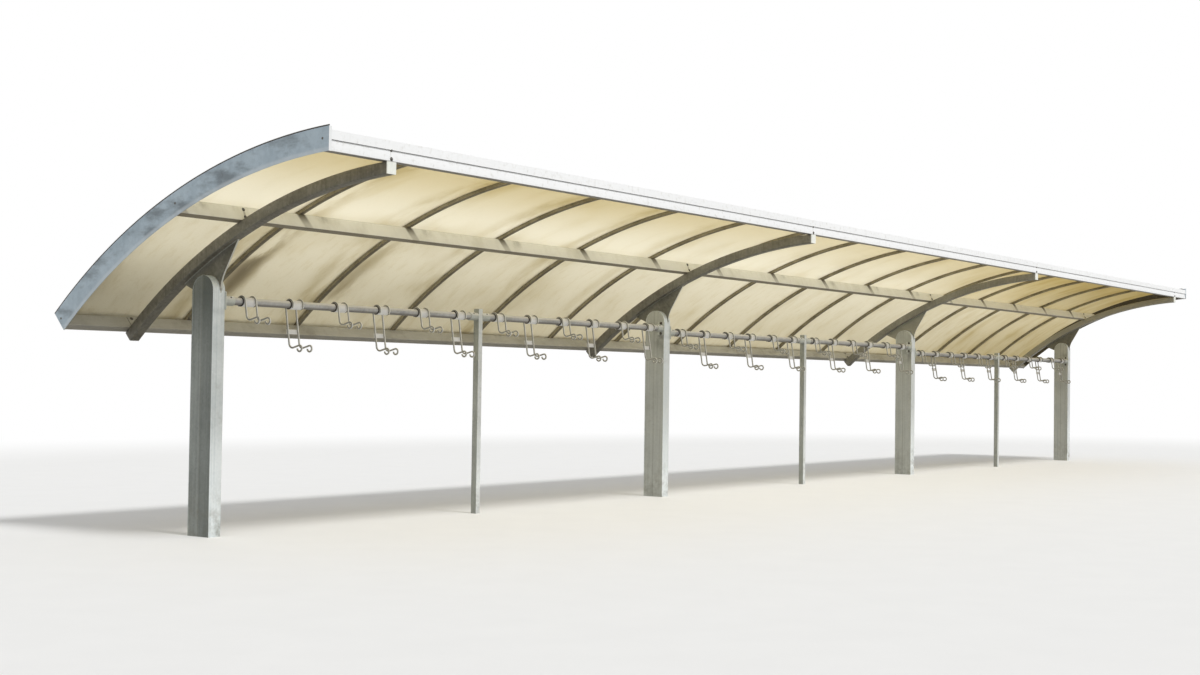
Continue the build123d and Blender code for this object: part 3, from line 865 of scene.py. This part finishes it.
# The channel's corners are given along its wall's middle, down the roof and out of it
CHANNEL_CORNERS = [
    (0.021, 0.014), (0.021, 0.0015), (-0.021, 0.0015),
    (-0.021, 0.0935), (0.021, 0.0935), (0.021, 0.081),
]
CHANNEL = folded(CHANNEL_CORNERS, radius=0.0045, wall=0.003)
for name, material in (("front", FASCIA), ("middle", MIDDLE_ZINC), ("rear", REAR_ZINC)):
    angle = PURLIN_ANGLES[name]
    down, out = roof_frame(angle)
    outline = on_arc(BEAM_TOP_R, angle) + CHANNEL[:, :1] * down + CHANNEL[:, 1:] * out
    channel = along_x(outline, ROOF_START + END_PLATE_THICKNESS, ROOF_END - END_PLATE_THICKNESS)
    piece(f"{name}_purlin_channel", [channel], material, [f"{name}_purlin"])

# Two bolts through each purlin's web at each beam: how far along and up the web they are
BOLT_PLACES = {
    "front": (-0.003, 0.0135, 0.066),
    "middle": (0.004, 0.024, 0.074),
    "rear": (0.022, 0.030, 0.078),
}
bolts = []
for name, (along, *heights) in BOLT_PLACES.items():
    down, out = roof_frame(PURLIN_ANGLES[name])
    for up in heights:
        y, z = on_arc(BEAM_TOP_R, PURLIN_ANGLES[name]) - down * PURLIN_WEB_OFFSET + out * up
        bolts += [set_on(DOME_BOLT, (x + along, y, z), (0.0, -down[0], -down[1])) for x in POST_X]
piece("purlin_bolts", bolts, FIXING)

# End plates: a bolt into each purlin's end
bolts = []
for x, way in ((ROOF_START, -1.0), (ROOF_END, 1.0)):
    for angle in END_BOLT_ANGLES:
        y, z = on_arc(END_BOLT_R, radians(angle))
        bolts.append(set_on(HEX_BOLT, (x - way * END_BOLT_SINK, y, z), (way, 0.0, 0.0)))
piece("end_plate_bolts", bolts, FIXING)

# Roof skin: bars with a stem between two sheets, caps with screws, and the sheets
bar_outline = between(BAR_SEAT_R, SHEET_BOTTOM_R, BAR_WIDTH, 0.003, 3)
stem_outline = between(SHEET_BOTTOM_R, SHEET_TOP_R, STEM_WIDTH, 0.001, 2)
cap_outline = between(SHEET_TOP_R, SHEET_TOP_R + CAP_THICKNESS, CAP_WIDTH, 0.002, 3)
edging_outline = between(EDGING_BOTTOM_R, EDGING_TOP_R, EDGING_WIDTH, 0.001, 2)
for group in range(3):
    places = BAR_X[group * BARS_IN_GROUP : (group + 1) * BARS_IN_GROUP]
    bars = [band(bar_outline, x, BAR_FRONT_Y) for x in places]
    bars += [band(stem_outline, x, SHEET_FRONT_Y) for x in places]
    piece(f"bars_{group + 1}", bars, RIB_BROWN, [f"glazing_bars_{group + 1}"])
    # A dark strip on top of each end plate stands for the sheets' shaded edge: painted shade
    if group in EDGINGS:
        edging = band(edging_outline, *EDGINGS[group])
        piece(f"end_shade_strip_{group + 1}", [edging], RUBBER_AND_SHADE)
    caps = [band(cap_outline, x, CAP_FRONT_Y) for x in places]
    piece(f"caps_{group + 1}", caps, CAP_ALUMINIUM, [f"glazing_caps_{group + 1}"])
screws = []
for angle in SCREW_ANGLES:
    y, z = on_arc(SHEET_TOP_R + CAP_THICKNESS, angle)
    screws += [set_on(SMALL_SCREW, (x, y, z), (0.0, sin(angle), cos(angle))) for x in BAR_X]
piece("cap_screws", screws, FIXING)

for group in range(SHEETS // SHEETS_IN_GROUP):
    sheets = []
    for number in range(group * SHEETS_IN_GROUP, (group + 1) * SHEETS_IN_GROUP):
        left = ROOF_START + number * SHEET_PITCH
        right = left + SHEET_PITCH
        left += END_PLATE_THICKNESS if number == 0 else GAP_AT_BAR
        right -= END_PLATE_THICKNESS if number == SHEETS - 1 else GAP_AT_BAR
        low, high = SHEET_BOTTOM_R, SHEET_TOP_R
        outline = np.array([(left, low), (right, low), (right, high), (left, high)])
        sheets.append(band(outline, 0.0, SHEET_FRONT_Y))
    piece(f"sheets_{group + 1}", sheets, SHEET, [f"roof_sheets_{group + 1}"])

# A dark strip under the front trim's lower edge, a part that stands for the shadow there: painted shadow
strip = rounded(*TRIM_SHADOW_SIZE, 0.0008, 2) + TRIM_SHADOW_PLACE
strip = along_x(strip, ROOF_START + TRIM_SHADOW_INSET, ROOF_END - TRIM_SHADOW_INSET)
piece("trim_shadow_strip", [strip], TRIM_SHADOW_FINISH)


# Rails with a sleeve at each end, held by plates with two bolts, and sleeves beside the thin posts
def sleeve_screw(x, height):
    """A small screw in the upper front of a sleeve."""
    spot = (x, RAIL_Y - SLEEVE_R * 0.7, height + SLEEVE_R * 0.7)
    return set_on(SMALL_SCREW, spot, (0.0, -0.7, 0.7))


rail_bolts, plates, sleeves, collars = [], [], [], []
for number, height in enumerate(RAIL_HEIGHTS):
    centre = np.array([RAIL_Y, height])
    left = POST_X[number] + POST_HALF_WIDTH
    right = POST_X[number + 1] - POST_HALF_WIDTH
    middle = (left + right) / 2
    tube = along_x(circle(RAIL_R, 48) + centre, left + FLANGE_THICKNESS, right - FLANGE_THICKNESS)
    piece(f"rail_{number + 1}", [tube], RAIL_ZINC, [f"hook_rail_{number + 1}"])
    sleeve = circle(SLEEVE_R, 48) + centre
    for x, way in ((left, 1), (right, -1)):
        plate = rounded(FLANGE_DEPTH, FLANGE_HEIGHT, 0.006) + centre
        ends = sorted((x, x + way * FLANGE_THICKNESS))
        plates.append(along_x(plate, *ends, 0.001))
        ends = sorted((x + way * FLANGE_THICKNESS, x + way * (FLANGE_THICKNESS + SOCKET_LENGTH)))
        sleeves.append(along_x(sleeve, *ends, SLEEVE_RIM))
        for up in (-FLANGE_BOLT_RISE, FLANGE_BOLT_RISE):
            spot = (x + way * FLANGE_THICKNESS, RAIL_Y, height + up)
            rail_bolts.append(set_on(HEX_BOLT, spot, (way, 0.0, 0.0)))
        rail_bolts.append(sleeve_screw(x + way * SOCKET_SCREW, height))
    half = THIN_POST_WIDTH / 2
    collars.append(along_x(sleeve, middle - half - COLLAR_LENGTH, middle - half, SLEEVE_RIM))
    collars.append(along_x(sleeve, middle + half, middle + half + COLLAR_LENGTH, SLEEVE_RIM))
    for x in (middle - COLLAR_SCREW, middle + COLLAR_SCREW):
        rail_bolts.append(sleeve_screw(x, height))
    top = height + THIN_POST_RISE
    outline = rounded(THIN_POST_WIDTH, THIN_POST_DEPTH, 0.004)
    levels = [(0.0, 0.0), (top - 0.003, 0.0), (top - 0.0008, 0.0008), (top, 0.003)]
    rings = []
    for z, cut in levels:
        ring = inset(outline, cut) + [middle, RAIL_Y]
        rings.append(np.c_[ring, np.full(len(ring), z)])
    name = f"thin_post_{number + 1}"
    piece(f"{name}_tube", [skin(rings)], THIN_ZINC, [name])
piece("rail_end_plates", plates, SLEEVE_ZINC, ["rail_end_flanges"])
piece("rail_end_sleeves", sleeves, SLEEVE_ZINC)
piece("rail_sleeves", collars, SLEEVE_ZINC, ["rail_collars"])
piece("rail_bolts", rail_bolts, FIXING)


# Hooks
def hook_path(y, z, drop, long):
    """Centre line of a wire in Y and Z, as arcs joined by straight runs: round the rail, the bend
    under the straight fall, and the eye after the rise. The heading goes with each point."""
    first = WRAP - LEAN if long else 180 - LEAN - WRAP
    way = -1 if long else 1
    wrap = np.radians(first + way * np.linspace(0, WRAP, 20))
    loop = np.c_[y + LOOP_R * np.cos(wrap), z + LOOP_R * np.sin(wrap)]
    start = loop[-1]
    fall = start[1] - (z - drop) - BEND_R * (1 - sin(radians(LEAN)))
    down = start + np.array([-fall * tan(radians(LEAN)), -fall])
    centre = down + BEND_R * np.array([-cos(radians(LEAN)), sin(radians(LEAN))])
    turn = np.radians(np.linspace(-LEAN, -90 - RISE, 11))
    bend = centre + BEND_R * np.c_[np.cos(turn), np.sin(turn)]
    end = bend[-1] + REACH * np.array([-cos(radians(RISE)), sin(radians(RISE))])
    centre = end - EYE_R * np.array([sin(radians(RISE)), cos(radians(RISE))])
    curl = np.radians(90 - RISE + np.linspace(0, EYE_TURN, 26))
    eye = centre + EYE_R * np.c_[np.cos(curl), np.sin(curl)]
    heading = np.concatenate([wrap + way * pi / 2, turn - pi / 2, curl + pi / 2])
    return np.vstack([loop, bend, eye]), heading


def wrapped(profile, x, y, z, overrun=0.0, steps=30):
    """A closed profile of (across, radius) turned about the rail's axis as far as the saddles reach,
    and beyond both of their ends by an angle."""
    sweep = np.linspace(0, SADDLE_WRAP + 2 * overrun, steps)
    angle = np.radians(SADDLE_START - overrun + sweep)[:, None]
    across = np.broadcast_to(x + profile[:, 0], (steps, len(profile)))
    ring = [across, y + profile[:, 1] * np.cos(angle), z + profile[:, 1] * np.sin(angle)]
    return skin(np.stack(ring, axis=-1))


# The liner lies under the saddle, and its two rims stand up beside it
SADDLE = rounded(SADDLE_WIDTH, SADDLE_THICKNESS, 0.001, 3) + [0.0, SADDLE_R]
LINER = np.array(
    [(-0.056, 0.0243), (0.056, 0.0243), (0.056, 0.0300), (0.0515, 0.0300), (0.051, 0.0271)]
    + [(-0.051, 0.0271), (-0.0515, 0.0300), (-0.056, 0.0300)]
)

# Hooks stand on both sides of each bay's middle, short and long in turn
liners = []
for number, height in enumerate(RAIL_HEIGHTS):
    steps = HOOK_NEAREST + HOOK_PITCH * np.arange(HOOKS_IN_HALF_BAY)
    spots = np.sort(np.concatenate([-steps, steps])) + POST_X[number] + BAY / 2
    for kind, places, drop in (("short", spots[0::2], SHORT_DROP), ("long", spots[1::2], LONG_DROP)):
        path, heading = hook_path(RAIL_Y, height, drop, kind == "long")
        middles = [x + side * WIRE_APART / 2 for x in places for side in (-1, 1)]
        wires = [wire(path, heading, x, WIRE_R) for x in middles]
        name = f"{kind}_hooks_{number + 1}"
        piece(f"{name}_wires", wires, WIRE, [name], 60.0)
        plates = [wrapped(SADDLE, x, RAIL_Y, height) for x in places]
        liners += [wrapped(LINER, x, RAIL_Y, height, LINER_OVERRUN) for x in places]
        if kind == "long":
            lean = radians(LEAN)
            fall = CROSS_PLATE_DROP - LOOP_R * sin(lean)
            wire_y = RAIL_Y + LOOP_R * cos(lean) - fall * tan(lean)
            outline = rounded(CROSS_PLATE_THICKNESS, CROSS_PLATE_HEIGHT, 0.001, 3)
            turn = np.array([(cos(lean), sin(lean)), (-sin(lean), cos(lean))])
            outline = outline @ turn.T
            outline += [wire_y + CROSS_PLATE_STANDOFF / cos(lean), height - CROSS_PLATE_DROP]
            half = CROSS_PLATE_HALF
            plates += [along_x(outline, x - half, x + half, 0.0008) for x in places]
        piece(f"{name}_saddles", plates, SADDLE_ZINC)
piece("saddle_liners", liners, RUBBER_AND_SHADE)

# Weld beads where the gussets meet the heads and the beams
beads = []
turn, head = head_arc(33)
under_y = np.linspace(GUSSET_FRONT_Y, GUSSET_REAR_Y, 24)
under = np.c_[under_y, height_at(under_y, BEAM_BOTTOM_R)]
slope = -np.arcsin((under_y - AXIS[0]) / BEAM_BOTTOM_R)
for x in POST_X + GUSSET_OFFSET:
    for side in (-GUSSET_HALF_THICKNESS, GUSSET_HALF_THICKNESS):
        beads.append(wire(head, pi / 2 - turn, x + side, HEAD_WELD_R, 8))
        beads.append(wire(under, slope, x + side, BEAM_WELD_R, 8))
piece("gusset_welds", beads, WELD)

# Nodes that stay as they are get their finishes
KEPT = {"beam_end_caps": TIP_ZINC, "purlin_cleats": CLEAT_ZINC, "near_end_plate": END_ZINC}
KEPT.update({"far_end_plate": END_ZINC, "front_edge_trim": FASCIA, "rear_edge_trim": CAP_ALUMINIUM})
KEPT.update({f"gusset_{number}": GUSSET_ZINC for number in range(1, 5)})
for name, material in KEPT.items():
    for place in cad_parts[name].material_slots:
        place.material = material


# Floor, light and background
def floor_paint(place):
    """Pale floor that fades to the white background, for what the camera sees, away from the shelter."""
    x, y = place.split()[:2]
    wide = (x - MIDDLE_X) * 0.62
    far = place.math("SQRT", wide * wide + y * y).step(7.5, 13.5)
    path = place.node("ShaderNodeLightPath", output="Is Camera Ray")
    grain = place.noise(3.0, 4.0)
    pale = grain.tint(colour(0.84, 0.84, 0.83), colour(0.80, 0.80, 0.79))
    base = path.tint(colour(0.48, 0.48, 0.47), pale)
    ground = principled(place, base, 0.8)
    white = place.node("ShaderNodeEmission", {}, {"Color": colour(1, 1, 1), "Strength": 1.0})
    return place.node("ShaderNodeMixShader", {}, {0: far * path, 1: ground, 2: white})


floor_mesh = bpy.data.meshes.new("floor")
rim = circle(60.0, 96) + [MIDDLE_X, 0.0]
floor_mesh.from_pydata(np.c_[rim, np.zeros(len(rim))].tolist(), [], [list(range(len(rim)))])
floor_mesh.materials.append(finish("floor_pale", floor_paint))
floor = bpy.data.objects.new("floor", floor_mesh)
scene.collection.objects.link(floor)
floor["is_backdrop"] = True

sun_data = bpy.data.lights.new("soft_sun", "SUN")
sun_data.energy = 2.0
sun_data.angle = radians(12.0)
sun = bpy.data.objects.new("soft_sun", sun_data)
sun.rotation_mode = "QUATERNION"
sun.rotation_quaternion = Vector((0.07, 0.63, -0.77)).to_track_quat("-Z", "Y")
scene.collection.objects.link(sun)

world = bpy.data.worlds.new("studio")
world.use_nodes = True
world.node_tree.nodes.clear()
sky = Socket(world.node_tree)
seen = sky.node("ShaderNodeLightPath", output="Is Camera Ray")
mirrored = sky.node("ShaderNodeLightPath", output="Is Glossy Ray")
through = sky.node("ShaderNodeLightPath", output="Is Transmission Ray")
shown = sky.math("MAXIMUM", sky.math("MAXIMUM", seen, mirrored), through)
lit = sky.node("ShaderNodeBackground", {}, {"Color": colour(1, 1, 1), "Strength": 0.52})
white = sky.node("ShaderNodeBackground", {}, {"Color": colour(1, 1, 1), "Strength": 1.0})
both = sky.node("ShaderNodeMixShader", {}, {0: shown, 1: lit, 2: white})
sky.node("ShaderNodeOutputWorld", {}, {"Surface": both})
scene.world = world

low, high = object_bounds()
